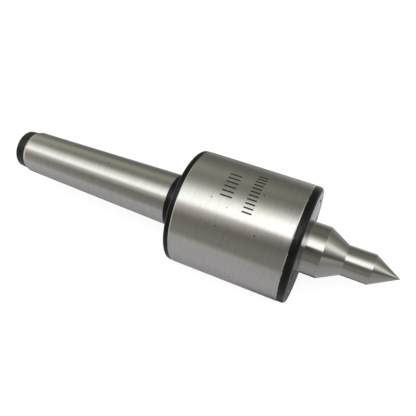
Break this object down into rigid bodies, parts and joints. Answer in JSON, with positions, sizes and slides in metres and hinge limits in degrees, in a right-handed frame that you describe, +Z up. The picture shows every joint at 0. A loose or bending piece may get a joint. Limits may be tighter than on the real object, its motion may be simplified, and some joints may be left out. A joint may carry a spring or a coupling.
{
  "type": "live center",
  "caption": "Revolving lathe center: a cylindrical housing on a Morse taper shank, with a bearing-mounted spindle that ends in a sharp 60 degree point.",
  "frame": {"origin": "on the axis, in the gauge plane of the Morse taper, where the ground taper ends and the black collar begins", "axes": "+X along the axis towards the point; +Z up with the center held level in a tailstock"},
  "size_m": [0.1372, 0.0384, 0.0384],
  "materials": {
    "ground_and_blackened_steel": "ground, with blackened collar, rims and tail",
    "black_oxide_steel": "black oxide, turned",
    "polished_tool_steel": "fine ground",
    "bearing_steel": "polished",
    "spring_steel": "phosphated",
    "plain_steel": "turned",
    "brass_cage": "stamped",
    "oiled_felt": "pressed wool felt"
  },
  "bodies": {
    "housing": {"housing_shank": "ground_and_blackened_steel", "front_cap": "black_oxide_steel", "felt_seal": "oiled_felt", "front_bearing_outer_ring": "bearing_steel", "front_bearing_shield": "bearing_steel", "second_bearing_outer_ring": "bearing_steel", "second_bearing_shield": "bearing_steel", "preload_disc_spring": "spring_steel", "thrust_housing_washer": "bearing_steel", "needle_bearing_cup": "bearing_steel"},
    "spindle": {"spindle": "polished_tool_steel", "neck_dust_ring": "polished_tool_steel", "front_bearing_inner_ring": "bearing_steel", "second_bearing_inner_ring": "bearing_steel", "shaft_circlip": "spring_steel", "thrust_spacer": "plain_steel", "thrust_shaft_washer": "bearing_steel"},
    "front_cage": {"front_bearing_cage": "brass_cage", "front_bearing_balls": "bearing_steel"},
    "second_cage": {"second_bearing_cage": "brass_cage", "second_bearing_balls": "bearing_steel"},
    "thrust_cage": {"thrust_bearing_cage": "brass_cage", "thrust_bearing_balls": "bearing_steel"},
    "needle_cage": {"needle_bearing_cage": "brass_cage", "needle_rollers": "bearing_steel"}
  },
  "joints": [
    {"name": "spindle_spin", "type": "hinge", "parent": "housing", "child": "spindle", "pos_m": [0, 0, 0], "axis": [1, 0, 0], "continuous": true},
    {"name": "front_cage_spin", "type": "hinge", "parent": "housing", "child": "front_cage", "pos_m": [0, 0, 0], "axis": [1, 0, 0], "continuous": true},
    {"name": "second_cage_spin", "type": "hinge", "parent": "housing", "child": "second_cage", "pos_m": [0, 0, 0], "axis": [1, 0, 0], "continuous": true},
    {"name": "thrust_cage_spin", "type": "hinge", "parent": "housing", "child": "thrust_cage", "pos_m": [0, 0, 0], "axis": [1, 0, 0], "continuous": true},
    {"name": "needle_cage_spin", "type": "hinge", "parent": "housing", "child": "needle_cage", "pos_m": [0, 0, 0], "axis": [1, 0, 0], "continuous": true}
  ],
  "couplings": [
    {"joint": "front_cage_spin", "follows": "spindle_spin", "ratio": 0.4186},
    {"joint": "second_cage_spin", "follows": "spindle_spin", "ratio": 0.4186},
    {"joint": "thrust_cage_spin", "follows": "spindle_spin", "ratio": 0.5},
    {"joint": "needle_cage_spin", "follows": "spindle_spin", "ratio": 0.4348}
  ]
}
